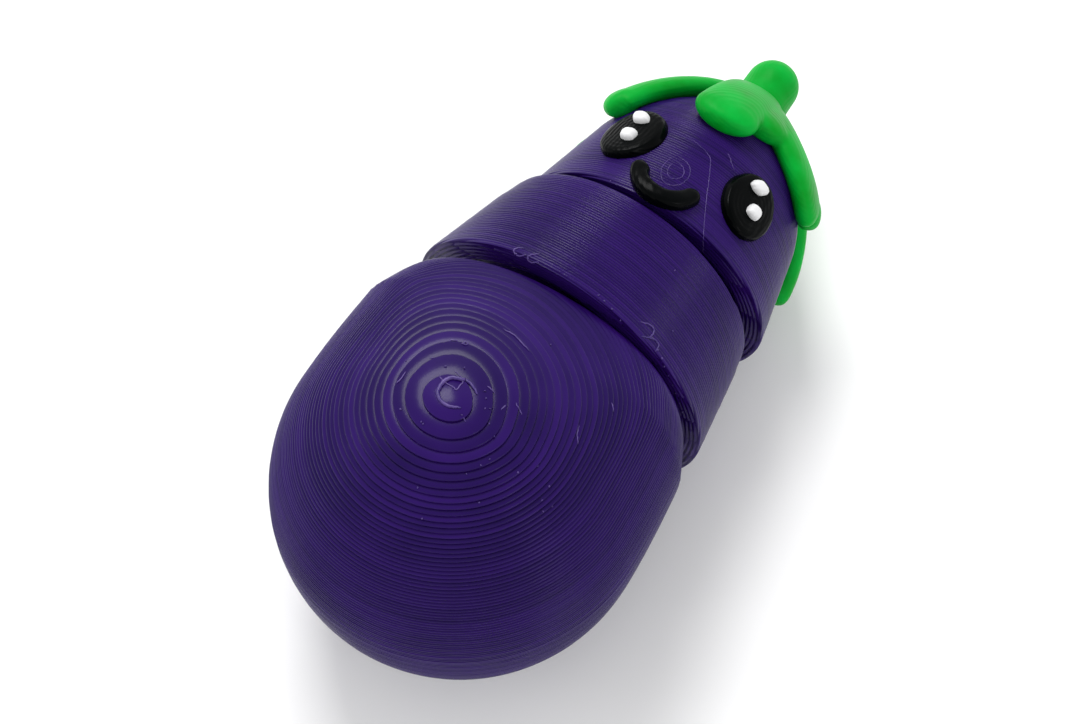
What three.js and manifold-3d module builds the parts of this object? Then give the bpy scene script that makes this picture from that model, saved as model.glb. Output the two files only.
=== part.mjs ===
// Articulated eggplant toy: a plump bulb, a ring and a head lie in a row along +Y.
// They are linked by two upright pins, so that the row bends from side to side.
// Units are millimetres, +Z is up, and the origin is on the floor under the bulb's centre.
import * as THREE from 'three';
import { mergeVertices } from 'three/addons/utils/BufferGeometryUtils.js';
import Module from 'manifold-3d';

const wasm = await Module();
wasm.setup();

// ---- Driving dimensions -------------------------------------------------------------
const ROUND_SIDES = 48;            // facets round each segment
const BULB_RADIUS = 16.55;         // widest radius, at y = 0
const TAIL_LENGTH = 16.75;         // from the widest place back to the tail end
const REST_HALF_WIDTH = 4.0;       // half width of the small flat under the bulb
const BULB_SHOULDER_Y = 9.7;       // where the bulb starts to round over
const BULB_SHOULDER_RADIUS = 16.05;
const BULB_FACE_Y = 15.3;          // flat face towards the ring
const BULB_FACE_RADIUS = 9.0;
const BULB_SHOULDER_INWARD = 0.24; // slope of the side where the shoulder starts
const BULB_SHOULDER_FULLNESS = 0.84; // 1 would be nearly square, 0 a straight cone
const BULB_TOP_SLOPE = 0.46;       // the bulb's upper side falls away forwards at this slope,
const BULB_TOP_BREAK_Y = 4.0;      // from about here,
const BULB_TOP_BEND = 1.4;         // by a bend of this half length
const BULB_TOP_CROWN = 25;         // radius of that slope from side to side
const BULB_TOP_CROWN_X = -1.5;     // its highest line runs a little left of the middle
const BULB_TOP_BLEND = 0.8;        // softness of the line where it meets the round sides

const RING_LIP_Y = 15.95;          // rear edge of the ring
const RING_LIP_RADIUS = 15.1;
const RING_LIP_ROUND = 0.8;
const RING_SHOULDER_Y = 24.4;
const RING_SHOULDER_RADIUS = 13.55;
const RING_FACE_Y = 27.8;
const RING_FACE_RADIUS = 10.6;
const RING_SHOULDER_INWARD = 0.2;
const RING_SHOULDER_FULLNESS = 0.85;
const RING_AXIS_HEIGHT = 13.3;     // height of its centre line half way along
const RING_AXIS_SLOPE = 0.08;      // the ring tapers, so its centre line sinks forwards

const HEAD_LIP_Y = 28.45;          // rear edge of the head
const HEAD_LIP_RADIUS = 12.85;
const HEAD_LIP_ROUND = 0.4;
const HEAD_WAIST_Y = 36.9;         // where the head starts to close over
const HEAD_WAIST_RADIUS = 11.05;
const HEAD_WAIST_INWARD = 0.9;     // how far the dome has drawn in by its first control point,
const HEAD_DOME_RISE = 0.44;       // which is this part of the way to the tip
const HEAD_DOME_CROWN = 0.38;      // part of the waist radius that the blunt top keeps
const HEAD_TIP_Y = 48.0;
const HEAD_AXIS_HEIGHT = 12.25;

const BEVEL_HALF_WIDTH = 4.0;      // each front face is flat this far out, and beyond that it
const BEVEL_DEG = 5.0;             // slopes back, so that the next piece can swing

const CUP_DEPTH = 0.9;             // hollow in the rear face of the ring and the head
const CUP_RIM = 2.4;               // width of the lip round that hollow

const HINGE_ONE_Y = 11.0;          // upright pin in the bulb
const HINGE_TWO_Y = 22.5;          // upright pin in the ring
const PIN_RADIUS = 1.3;
const RING_LOOP_PLAY = 0.45;       // looseness of each loop on its pin
const HEAD_LOOP_PLAY = 1.5;
const LOOP_WALL = 1.2;
const TONGUE_HALF_WIDTH = 1.9;
const TONGUE_THICKNESS = 4.6;
const SLOT_CLEARANCE = 0.5;
const BEND_LIMIT_DEG = 5.0;        // how far each joint bends either way from straight

const FACE_TURN_DEG = 6.5;         // the face is rolled a little to the right
const ARM_FLARE = 0.4;             // how much wider an arm is at its end
const ARM_THICKNESS = 1.8;
const ARM_LIFT = 0.35;             // clearance between the calyx and the head
const HUB_RADIUS = 4.6;
const HUB_DEPTH = 2.6;
const HUB_SINK = 0.4;              // the hub's middle lies this far inside the head's tip
const STEM_RADIUS = 2.6;
const STEM_END_Y = 52.6;           // centre of the stem's round end
const STEM_FOOT = 1.5;             // the stem widens from this far above the tip to as far below
const STEM_FOOT_SPREAD = 0.7;
// Each arm of the calyx follows a curve over the head from start to end, drawn towards bend.
// These are [roll clockwise from the top in degrees, distance from the tip over the skin].
// Then come the arm's half width and the length of the rounding at its ends. The first is
// the lobe above the face.
const CALYX_ARMS = [
  { start: [9, 0.5], bend: [9, 7], end: [9, 14.7], halfWidth: 3.2, cap: 3.1 },
  { start: [20, 2.5], bend: [44, 11], end: [80, 12.9], halfWidth: 2.2, cap: 1.0 },
  { start: [95, 0.5], bend: [113, 9], end: [115, 19.6], halfWidth: 1.6, cap: 1.5 },
  { start: [150, 0.5], bend: [151, 8], end: [152, 13.5], halfWidth: 1.6, cap: 1.5 },
  { start: [205, 0.5], bend: [205, 7], end: [206, 12.5], halfWidth: 1.6, cap: 1.5 },
  { start: [258, 0.5], bend: [258, 8], end: [257, 17.5], halfWidth: 1.6, cap: 1.5 },
  { start: [322, 0.5], bend: [310, 8], end: [308, 15.6], halfWidth: 2.0, cap: 0.9 },
];

const EYE_SPREAD_DEG = 31.5;
const EYE_Y = 34.15;
const EYE_SKEW = 0.15;             // the right eye sits this much further forward, the left one back
const EYE_HALF_WIDTH = 2.85;
const EYE_HALF_LENGTH = 3.4;
const TRIM_GAP = 0.3;              // clearance under each stuck-on piece
const EYE_HEIGHT = 1.1;
const HIGHLIGHT_HEIGHT = 0.45;
// The glints on each eye, from its centre. The right eye's are shifted a little from the left's.
const UPPER_GLINT = { x: -0.2, y: 1.85, shiftX: -0.15, shiftY: 0.1, halfWidth: 0.95, halfLength: 0.72 };
const LOWER_GLINT = { x: 0.35, y: -0.65, shiftX: -0.05, shiftY: 0.1, halfWidth: 0.85, halfLength: 0.75 };
const SMILE_Y = 31.6;
const SMILE_TURN_DEG = -3.5;
const SMILE_RADIUS = 2.45;
const SMILE_HALF_WIDTH = 0.75;
const SMILE_HEIGHT = 1.2;

// The pose at rest, seen from the tail: the ring is bent to the right, the head to the
// left, and the head's loop has slid to the right on its pin.
const RING_BEND_DEG = -4.6;
const HEAD_BEND_DEG = 2.0;
const HEAD_SLIP = 0.95;

// ---- Centre line and profile curves -----------------------------------------------
const bulbHeight = () => Math.sqrt(BULB_RADIUS ** 2 - REST_HALF_WIDTH ** 2);
const headHeight = () => HEAD_AXIS_HEIGHT;

function ringHeight(y) {
  const middle = (RING_LIP_Y + RING_FACE_Y) / 2;
  return RING_AXIS_HEIGHT - RING_AXIS_SLOPE * (y - middle);
}

function curvePoints(points, divisions) {
  const [a, b, c, d] = points.map(([radius, y]) => new THREE.Vector2(radius, y));
  return new THREE.CubicBezierCurve(a, b, c, d).getPoints(divisions);
}

// The rounded front edge of a segment, from its side at (startRadius, startY) to its face.
function shoulder(startY, startRadius, faceY, faceRadius, inward, fullness) {
  const run = faceY - startY;
  return curvePoints([
    [startRadius, startY],
    [startRadius - inward * run, startY + 0.55 * run],
    [faceRadius + fullness * (startRadius - faceRadius), faceY],
    [faceRadius, faceY],
  ], 9);
}

// A rounded rear lip round a shallow cup, from the axis out to the side of the segment.
function cuppedLip(lipY, lipRadius, lipRound) {
  const points = [
    new THREE.Vector2(0, lipY + CUP_DEPTH),
    new THREE.Vector2(lipRadius - CUP_RIM - CUP_DEPTH, lipY + CUP_DEPTH),
    new THREE.Vector2(lipRadius - CUP_RIM, lipY),
  ];
  const arcSteps = 6;
  for (let i = 0; i <= arcSteps; i += 1) {
    const angle = (i / arcSteps) * Math.PI / 2;
    points.push(new THREE.Vector2(
      lipRadius - lipRound + lipRound * Math.sin(angle),
      lipY + lipRound - lipRound * Math.cos(angle),
    ));
  }
  return points;
}

// ---- Solids -------------------------------------------------------------------------
function toManifold(geometry) {
  const bare = geometry.clone();
  bare.deleteAttribute('normal');
  bare.deleteAttribute('uv');
  const merged = mergeVertices(bare, 1e-5);
  const triangles = [];
  const index = merged.index.array;
  for (let i = 0; i < index.length; i += 3) {
    const [a, b, c] = [index[i], index[i + 1], index[i + 2]];
    if (a !== b && b !== c && c !== a) triangles.push(a, b, c);
  }
  return new wasm.Manifold(new wasm.Mesh({
    numProp: 3,
    vertProperties: new Float32Array(merged.attributes.position.array),
    triVerts: new Uint32Array(triangles),
  }));
}

function toGeometry(solid) {
  const mesh = solid.getMesh();
  const geometry = new THREE.BufferGeometry();
  geometry.setAttribute('position', new THREE.BufferAttribute(mesh.vertProperties, 3));
  geometry.setIndex(new THREE.BufferAttribute(mesh.triVerts, 1));
  geometry.computeVertexNormals();
  return geometry;
}

// Turns a profile of (radius, y) points round a centre line of the given height. The upper
// side may be pressed down softly, to no more than topRadiusAt(y) above the centre line.
function turned(profile, heightAt, sides = ROUND_SIDES, topRadiusAt = null) {
  const geometry = new THREE.LatheGeometry(profile, sides);
  const position = geometry.attributes.position;
  for (let i = 0; i < position.count; i += 1) {
    const y = position.getY(i);
    const z = position.getZ(i);
    let height = z;
    if (topRadiusAt) {
      const across = position.getX(i) - BULB_TOP_CROWN_X;
      const limit = topRadiusAt(y) - across ** 2 / (2 * BULB_TOP_CROWN);
      height = (z + limit - Math.hypot(z - limit, BULB_TOP_BLEND)) / 2;
    }
    position.setZ(i, height + heightAt(y));
  }
  return toManifold(geometry);
}

function block(width, depth, height, x, y, z) {
  const geometry = new THREE.BoxGeometry(width, depth, height);
  geometry.translate(x, y, z);
  return toManifold(geometry);
}

function uprightCylinder(radius, height, y, z) {
  const geometry = new THREE.CylinderGeometry(radius, radius, height, 24);
  geometry.rotateX(Math.PI / 2);
  geometry.translate(0, y, z);
  return toManifold(geometry);
}

function aboveFloor(solid) {
  const big = 200;
  return solid.intersect(block(big, big, big, 0, 0, big / 2));
}

// Slopes the front face back on both sides of its flat middle.
function bevelFront(solid, faceY) {
  const big = 60;
  const back = (big - BEVEL_HALF_WIDTH) * Math.tan(THREE.MathUtils.degToRad(BEVEL_DEG));
  const outline = new THREE.Shape();
  outline.moveTo(-big, -big);
  outline.lineTo(big, -big);
  outline.lineTo(big, faceY - back);
  outline.lineTo(BEVEL_HALF_WIDTH, faceY);
  outline.lineTo(-BEVEL_HALF_WIDTH, faceY);
  outline.lineTo(-big, faceY - back);
  const keep = new THREE.ExtrudeGeometry(outline, { depth: 2 * big, bevelEnabled: false });
  keep.translate(0, 0, -big);
  return solid.intersect(toManifold(keep));
}

// ---- Hinge parts ----------------------------------------------------------------------
// A slot open towards +Y, wide enough for the tongue to swing, with the pin across it.
function cutSlotWithPin(solid, hingeY, z, faceY, play) {
  const height = TONGUE_THICKNESS + 2 * SLOT_CLEARANCE;
  const swing = THREE.MathUtils.degToRad(BEND_LIMIT_DEG + 1.5);
  const reach = faceY - hingeY + 2;
  const nearHalf = TONGUE_HALF_WIDTH + SLOT_CLEARANCE + play;
  const farHalf = nearHalf + reach * Math.tan(swing);
  const outline = new THREE.Shape();
  outline.moveTo(-nearHalf, 0);
  outline.lineTo(nearHalf, 0);
  outline.lineTo(farHalf, reach);
  outline.lineTo(-farHalf, reach);
  const fan = new THREE.ExtrudeGeometry(outline, { depth: height, bevelEnabled: false });
  fan.translate(0, hingeY, z - height / 2);
  const wellRadius = PIN_RADIUS + 2 * play + LOOP_WALL + SLOT_CLEARANCE;
  const well = uprightCylinder(wellRadius, height, hingeY, z);
  const pin = uprightCylinder(PIN_RADIUS, height + 1, hingeY, z);
  return solid.subtract(toManifold(fan)).subtract(well).add(pin);
}

// A flat tongue that reaches back to the pin and closes round it as a loop. It is rooted
// 1 mm deep in the bottom of the cup behind the lip.
function addTongue(solid, hingeY, z, lipY, play) {
  const length = lipY + CUP_DEPTH + 1 - hingeY;
  const bar = block(2 * TONGUE_HALF_WIDTH, length, TONGUE_THICKNESS, 0, hingeY + length / 2, z);
  const holeRadius = PIN_RADIUS + play;
  const loop = uprightCylinder(holeRadius + LOOP_WALL, TONGUE_THICKNESS, hingeY, z);
  const hole = uprightCylinder(holeRadius, TONGUE_THICKNESS + 2, hingeY, z);
  return solid.add(bar).add(loop).subtract(hole);
}

// ---- Segments ---------------------------------------------------------------------------
// How high the bulb's upper side may stand above its centre line. It is full at y = 0.
function bulbTopRadius(y) {
  const fall = (at) => {
    const past = at - BULB_TOP_BREAK_Y;
    return BULB_TOP_SLOPE * (past + Math.hypot(past, BULB_TOP_BEND)) / 2;
  };
  return BULB_RADIUS + fall(0) - fall(y);
}

function bulb() {
  const profile = [];
  const tailSteps = 16;
  for (let i = 0; i <= tailSteps; i += 1) {
    const angle = (i / tailSteps) * Math.PI / 2;
    profile.push(new THREE.Vector2(BULB_RADIUS * Math.sin(angle), -TAIL_LENGTH * Math.cos(angle)));
  }
  const barrel = curvePoints([
    [BULB_RADIUS, 0],
    [BULB_RADIUS, 0.5 * BULB_SHOULDER_Y],
    [BULB_RADIUS - 0.4, 0.8 * BULB_SHOULDER_Y],
    [BULB_SHOULDER_RADIUS, BULB_SHOULDER_Y],
  ], 5);
  profile.push(...barrel.slice(1, -1));
  profile.push(...shoulder(BULB_SHOULDER_Y, BULB_SHOULDER_RADIUS, BULB_FACE_Y, BULB_FACE_RADIUS,
    BULB_SHOULDER_INWARD, BULB_SHOULDER_FULLNESS));
  profile.push(new THREE.Vector2(0, BULB_FACE_Y));
  const whole = turned(profile, bulbHeight, ROUND_SIDES, bulbTopRadius);
  const body = bevelFront(aboveFloor(whole), BULB_FACE_Y);
  return cutSlotWithPin(body, HINGE_ONE_Y, ringHeight(RING_LIP_Y), BULB_FACE_Y, RING_LOOP_PLAY);
}

function middleRing() {
  const profile = cuppedLip(RING_LIP_Y, RING_LIP_RADIUS, RING_LIP_ROUND);
  profile.push(...shoulder(RING_SHOULDER_Y, RING_SHOULDER_RADIUS, RING_FACE_Y, RING_FACE_RADIUS,
    RING_SHOULDER_INWARD, RING_SHOULDER_FULLNESS));
  profile.push(new THREE.Vector2(0, RING_FACE_Y));
  const body = bevelFront(aboveFloor(turned(profile, ringHeight)), RING_FACE_Y);
  const slotted = cutSlotWithPin(body, HINGE_TWO_Y, HEAD_AXIS_HEIGHT, RING_FACE_Y, HEAD_LOOP_PLAY);
  return addTongue(slotted, HINGE_ONE_Y, ringHeight(RING_LIP_Y), RING_LIP_Y, RING_LOOP_PLAY);
}

// The dome's profile, or one parallel to it: its inner control points move by part of the offset.
function headDome(offset, divisions) {
  const domeLength = HEAD_TIP_Y - HEAD_WAIST_Y;
  return curvePoints([
    [HEAD_WAIST_RADIUS + offset, HEAD_WAIST_Y],
    [
      HEAD_WAIST_RADIUS - HEAD_WAIST_INWARD + offset,
      HEAD_WAIST_Y + HEAD_DOME_RISE * domeLength + 0.6 * offset,
    ],
    [HEAD_DOME_CROWN * HEAD_WAIST_RADIUS + 0.7 * offset, HEAD_TIP_Y + offset],
    [0, HEAD_TIP_Y + offset],
  ], divisions);
}

// The head's outside, or a skin parallel to it, grown by offset.
function headSkin(offset) {
  const profile = [
    new THREE.Vector2(0, HEAD_LIP_Y - offset),
    new THREE.Vector2(HEAD_LIP_RADIUS + offset, HEAD_LIP_Y - offset),
    new THREE.Vector2(HEAD_LIP_RADIUS + offset, HEAD_LIP_Y + HEAD_LIP_ROUND),
  ];
  return turned(profile.concat(headDome(offset, 14)), headHeight);
}

function head() {
  const profile = cuppedLip(HEAD_LIP_Y, HEAD_LIP_RADIUS, HEAD_LIP_ROUND).concat(headDome(0, 14));
  const body = aboveFloor(turned(profile, headHeight));
  return addTongue(body, HINGE_TWO_Y, HEAD_AXIS_HEIGHT, HEAD_LIP_Y, HEAD_LOOP_PLAY);
}

// ---- Calyx --------------------------------------------------------------------------------
// The line from the head's tip over its skin to its lip, as (radius, y).
function skinLine() {
  const line = headDome(0, 14).reverse();
  const waist = line[line.length - 1];
  const lip = new THREE.Vector2(HEAD_LIP_RADIUS, HEAD_LIP_Y + HEAD_LIP_ROUND);
  const sideSteps = 6;
  for (let i = 1; i <= sideSteps; i += 1) {
    line.push(waist.clone().lerp(lip, i / sideSteps));
  }
  return new THREE.SplineCurve(line);
}

// A place over the head, in the head's own frame about its axis.
function overSkin(line, angleDeg, distance, height) {
  const part = distance / line.getLength();
  const foot = line.getPointAt(part);
  const tangent = line.getTangentAt(part);
  const radius = foot.x - tangent.y * height;
  const angle = THREE.MathUtils.degToRad(angleDeg);
  return new THREE.Vector3(radius * Math.sin(angle), foot.y + tangent.x * height, radius * Math.cos(angle));
}

// Bends a flattened capsule along its route over the skin, so that it becomes one rounded arm.
function calyxArm(line, { start, bend, end, halfWidth, cap }) {
  const route = new THREE.QuadraticBezierCurve(...[start, bend, end].map((at) => new THREE.Vector2(...at)));
  const place = (t, height) => {
    const at = route.getPoint(t);
    return overSkin(line, at.x, at.y, height);
  };
  const stations = 13;
  const spine = new THREE.CatmullRomCurve3(
    Array.from({ length: stations }, (_, i) => place(i / (stations - 1), ARM_LIFT)),
  );
  const straight = spine.getLength() - 2 * cap;
  const geometry = new THREE.CapsuleGeometry(1, straight, 4, 12, 8);
  const position = geometry.attributes.position;
  for (let i = 0; i < position.count; i += 1) {
    const y = position.getY(i);
    const inCap = Math.max(Math.abs(y) - straight / 2, 0);
    const fromMiddle = Math.sign(y) * (Math.min(Math.abs(y), straight / 2) + cap * inCap);
    const part = THREE.MathUtils.clamp(0.5 - fromMiddle / spine.getLength(), 0, 1);
    const t = spine.getUtoTmapping(part);
    const foot = place(t, ARM_LIFT);
    const normal = place(t, ARM_LIFT + 1).sub(foot);
    const across = normal.clone().cross(spine.getTangentAt(part)).normalize();
    const flare = 1 + ARM_FLARE * part ** 3;
    foot.addScaledVector(across, position.getX(i) * halfWidth * flare);
    foot.addScaledVector(normal, ARM_THICKNESS * (1 + position.getZ(i)) / 2);
    position.setXYZ(i, foot.x, foot.y, foot.z + HEAD_AXIS_HEIGHT);
  }
  return toManifold(geometry);
}

function stem() {
  const profile = [
    new THREE.Vector2(0, HEAD_TIP_Y - STEM_FOOT),
    new THREE.Vector2(STEM_RADIUS + STEM_FOOT_SPREAD, HEAD_TIP_Y - STEM_FOOT),
    new THREE.Vector2(STEM_RADIUS + STEM_FOOT_SPREAD / 3, HEAD_TIP_Y + STEM_FOOT),
  ];
  const arcSteps = 8;
  for (let i = 0; i <= arcSteps; i += 1) {
    const angle = (i / arcSteps) * Math.PI / 2;
    const radius = STEM_RADIUS * Math.cos(angle);
    profile.push(new THREE.Vector2(radius, STEM_END_Y + STEM_RADIUS * Math.sin(angle)));
  }
  return turned(profile, headHeight, 24);
}

function calyx() {
  const hub = new THREE.SphereGeometry(1, 24, 12);
  hub.scale(HUB_RADIUS, HUB_DEPTH, HUB_RADIUS);
  hub.translate(0, HEAD_TIP_Y - HUB_SINK, HEAD_AXIS_HEIGHT);
  const line = skinLine();
  const arms = CALYX_ARMS.map((arm) => calyxArm(line, arm));
  const whole = arms.reduce((sum, arm) => sum.add(arm), toManifold(hub).add(stem()));
  return aboveFloor(whole.subtract(headSkin(TRIM_GAP)));
}

// ---- Face -----------------------------------------------------------------------------------
// Cuts a flat outline out of a skin that lies between two distances from the head.
function skinPatch(shape, angleDeg, low, high) {
  const prism = new THREE.ExtrudeGeometry(shape, { depth: 9, bevelEnabled: false, curveSegments: 8 });
  prism.translate(0, 0, 7);
  prism.rotateY(THREE.MathUtils.degToRad(angleDeg + FACE_TURN_DEG));
  prism.translate(0, 0, HEAD_AXIS_HEIGHT);
  return toManifold(prism).intersect(headSkin(high)).subtract(headSkin(low));
}

function oval(x, y, halfWidth, halfLength) {
  const shape = new THREE.Shape();
  shape.absellipse(x, y, halfWidth, halfLength, 0, 2 * Math.PI);
  return shape;
}

function smileShape() {
  const outer = SMILE_RADIUS + SMILE_HALF_WIDTH;
  const inner = SMILE_RADIUS - SMILE_HALF_WIDTH;
  const shape = new THREE.Shape();
  shape.absarc(0, SMILE_Y, outer, Math.PI, 2 * Math.PI, false);
  shape.absarc(SMILE_RADIUS, SMILE_Y, SMILE_HALF_WIDTH, 0, Math.PI, false);
  shape.absarc(0, SMILE_Y, inner, 2 * Math.PI, Math.PI, true);
  shape.absarc(-SMILE_RADIUS, SMILE_Y, SMILE_HALF_WIDTH, 0, Math.PI, false);
  return shape;
}

function eye(side) {
  const outline = oval(0, EYE_Y + side * EYE_SKEW, EYE_HALF_WIDTH, EYE_HALF_LENGTH);
  return skinPatch(outline, side * EYE_SPREAD_DEG, TRIM_GAP, EYE_HEIGHT);
}

function glint(side, { x, y, shiftX, shiftY, halfWidth, halfLength }) {
  const low = EYE_HEIGHT + TRIM_GAP;
  const middleY = EYE_Y + side * EYE_SKEW + y + side * shiftY;
  const outline = oval(x + side * shiftX, middleY, halfWidth, halfLength);
  return skinPatch(outline, side * EYE_SPREAD_DEG, low, low + HIGHLIGHT_HEIGHT);
}

const smile = () => skinPatch(smileShape(), SMILE_TURN_DEG, TRIM_GAP, SMILE_HEIGHT);

// ---- Assembly -----------------------------------------------------------------------------
function material(colour, roughness) {
  return new THREE.MeshStandardMaterial({ color: colour, roughness, metalness: 0 });
}

const purple = () => material(0x342260, 0.45);
const green = () => material(0x02a240, 0.5);
const black = () => material(0x121616, 0.35);
const white = () => material(0xe0e0e0, 0.5);

function named(name, solid, surface) {
  const mesh = new THREE.Mesh(toGeometry(solid), surface);
  mesh.name = name;
  return mesh;
}

// Turns everything that hangs on a pin about that pin.
function pivot(hingeY, bendDeg, slip) {
  const outer = new THREE.Group();
  outer.position.set(0, hingeY, 0);
  outer.rotation.z = THREE.MathUtils.degToRad(bendDeg);
  const inner = new THREE.Group();
  inner.position.set(slip, -hingeY, 0);
  outer.add(inner);
  return { outer, inner };
}

const toy = new THREE.Group();
toy.add(named('bulb', bulb(), purple()));

const ringPivot = pivot(HINGE_ONE_Y, RING_BEND_DEG, 0);
toy.add(ringPivot.outer);
ringPivot.inner.add(named('middle_ring', middleRing(), purple()));

const headPivot = pivot(HINGE_TWO_Y, HEAD_BEND_DEG, HEAD_SLIP);
ringPivot.inner.add(headPivot.outer);
headPivot.inner.add(named('head', head(), purple()));
headPivot.inner.add(named('calyx', calyx(), green()));
headPivot.inner.add(named('smile', smile(), black()));
[['left', -1], ['right', 1]].forEach(([word, side]) => {
  headPivot.inner.add(named(`${word}_eye`, eye(side), black()));
  headPivot.inner.add(named(`${word}_eye_upper_glint`, glint(side, UPPER_GLINT), white()));
  headPivot.inner.add(named(`${word}_eye_lower_glint`, glint(side, LOWER_GLINT), white()));
});

export default toy;
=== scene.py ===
# %% [markdown]
# # A printed toy eggplant
# The toy is a plump purple bulb, a ring and a head that lie in a row, with a green calyx and
# a small smiling face. Every piece was printed in plastic, one thin layer on another, and the
# layer lines are most of what the eye sees. So the purple pieces are not smoothed and given
# a bump. They are cut into layers again, by a Geometry Nodes tree that works as a slicer does.

# %% Tools, and the fixed frame
import math
import bpy
import bmesh
import numpy as np
from mathutils import Matrix, Vector


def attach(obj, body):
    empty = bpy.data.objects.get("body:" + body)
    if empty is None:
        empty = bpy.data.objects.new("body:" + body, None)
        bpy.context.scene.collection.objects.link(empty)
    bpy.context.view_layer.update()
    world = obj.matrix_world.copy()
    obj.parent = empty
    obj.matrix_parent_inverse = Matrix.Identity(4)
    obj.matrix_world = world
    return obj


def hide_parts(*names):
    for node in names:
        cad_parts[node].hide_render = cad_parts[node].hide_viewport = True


MM = 0.001
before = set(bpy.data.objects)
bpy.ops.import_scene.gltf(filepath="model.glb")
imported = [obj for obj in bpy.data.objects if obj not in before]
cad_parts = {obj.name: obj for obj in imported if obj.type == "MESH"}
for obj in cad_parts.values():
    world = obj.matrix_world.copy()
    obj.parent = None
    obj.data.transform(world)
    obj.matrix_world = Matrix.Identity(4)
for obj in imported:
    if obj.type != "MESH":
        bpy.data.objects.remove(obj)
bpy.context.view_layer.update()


def linked(name, data):
    """A new object in the scene, at the origin."""
    thing = bpy.data.objects.new(name, data)
    bpy.context.scene.collection.objects.link(thing)
    return thing


# %% [markdown]
# ## The camera
# The view looks down on the toy from above its tail and a little from the right, from about
# a hand's span away, so the near bulb looks larger than the far stem. A long lens keeps that
# from looking wild.
# The camera is worked out from the point it looks at, its distance and two angles. The shift
# stays at zero, because other views reuse this camera.

# %% Camera
TURN, ELEVATION = math.radians(29.7), math.radians(61.5)
WIDTH_PX, HEIGHT_PX, FOCAL_PX = 1086, 724, 2500.0
BULB_CENTRE = Vector((0, 0, 0.0162))
BULB_AT_PX = (462.7, 483.5)
MM_PER_PX = 0.086
DISTANCE = FOCAL_PX * MM_PER_PX * MM
SENSOR_WIDTH = 36

forward = Vector((-math.sin(TURN) * math.cos(ELEVATION), math.cos(TURN) * math.cos(ELEVATION),
                  -math.sin(ELEVATION)))
right = Vector((math.cos(TURN), math.sin(TURN), 0))
upward = right.cross(forward)


def way_through(spot):
    """The direction from the camera through a spot of its view, one unit deep."""
    return (forward + right * (spot[0] - WIDTH_PX / 2) / FOCAL_PX
            - upward * (spot[1] - HEIGHT_PX / 2) / FOCAL_PX)


eye_point = BULB_CENTRE - DISTANCE * way_through(BULB_AT_PX)
camera_data = bpy.data.cameras.new("camera")
camera_data.sensor_width = SENSOR_WIDTH
camera_data.lens = SENSOR_WIDTH * FOCAL_PX / WIDTH_PX
camera_data.clip_start = 10 * MM
camera = linked("camera", camera_data)
camera.matrix_world = Matrix.Translation(eye_point) @ Matrix(
    (right, upward, -forward)).transposed().to_4x4()
bpy.context.scene.camera = camera
print("camera at, mm:", [round(v / MM, 1) for v in eye_point])

# %% [markdown]
# ## Measures
# Each segment is a shape turned round the toy's long axis, so its side view is one curve of
# (radius, y) points, in millimetres. They follow the solid parts, with rounder shoulders and
# slightly different lips, because the skin seen from the camera is fitted more finely.

# %% Measures
LAYER, LINE_WIDTH = 0.28, 0.42
BULB_RADIUS, TAIL_LENGTH, REST_HALF_WIDTH = 16.55, 16.75, 4.0
BULB_SHOULDER_Y, BULB_SHOULDER_RADIUS, BULB_FACE_Y, BULB_FACE_RADIUS = 9.7, 16.05, 15.3, 9.0
SHOULDER_REACH = 0.55
BULB_SHOULDER_SHAPE = (0.26, 0.77, 40)
BARREL_STRAIGHT_Y, BARREL_TURN_Y, BARREL_TURN_IN = 4.85, 7.76, 0.4
BULB_TOP_RISE, BULB_TOP_SLOPE, BULB_TOP_CURVE, BULB_TOP_BLEND = 0.7, 0.22, 0.0112, 1.3
BULB_TOP_CROWN, BULB_TOP_CROWN_X = 22, -1.2
BEVEL_HALF_WIDTH, BEVEL = 4.0, math.radians(5)
RING_LIP_Y, RING_LIP_RADIUS, RING_LIP_ROUND = 15.7, 15.1, 0.4
RING_SHOULDER_Y, RING_SHOULDER_RADIUS, RING_FACE_Y, RING_FACE_RADIUS = 24.4, 13.55, 27.8, 11.1
RING_SHOULDER_SHAPE = (0.2, 0.9, 30)
RING_AXIS_HEIGHT, RING_AXIS_SLOPE = 13.1, 0.08
HEAD_LIP_Y, HEAD_LIP_RADIUS, HEAD_LIP_ROUND = 28.25, 12.85, 0.3
HEAD_WAIST_Y, HEAD_WAIST_RADIUS, HEAD_TIP_Y = 36.9, 11.05, 48.0
DOME_IN, DOME_REACH, DOME_BLUNT = 0.9, 0.44, 0.38
HEAD_AXIS_HEIGHT = 12.25
HINGE_ONE_Y, HINGE_TWO_Y = 11.0, 22.5
RING_BEND, HEAD_BEND, HEAD_SLIP = math.radians(-4.6), math.radians(2.0), 0.95
BULB_AXIS_HEIGHT = math.sqrt(BULB_RADIUS ** 2 - REST_HALF_WIDTH ** 2)
print("bulb's middle above the floor, mm:", round(BULB_AXIS_HEIGHT, 2))


# %% Curves, and where each segment lies
def bezier(a, b, c, d, steps):
    """Points of one cubic curve, as (radius, y)."""
    a, b, c, d = (np.array(p, float) for p in (a, b, c, d))
    t = np.linspace(0, 1, steps + 1)[:, None]
    return a * (1 - t) ** 3 + 3 * b * t * (1 - t) ** 2 + 3 * c * t * t * (1 - t) + d * t ** 3


def shoulder(start_y, start_r, face_y, face_r, shape):
    """The rounded front edge of a segment. The shape is how far it leans in, how full its
    corner is, and its number of steps."""
    inward, fullness, steps = shape
    run = face_y - start_y
    return bezier((start_r, start_y),
                  (start_r - inward * run, start_y + SHOULDER_REACH * run),
                  (face_r + fullness * (start_r - face_r), face_y), (face_r, face_y), steps)


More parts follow.
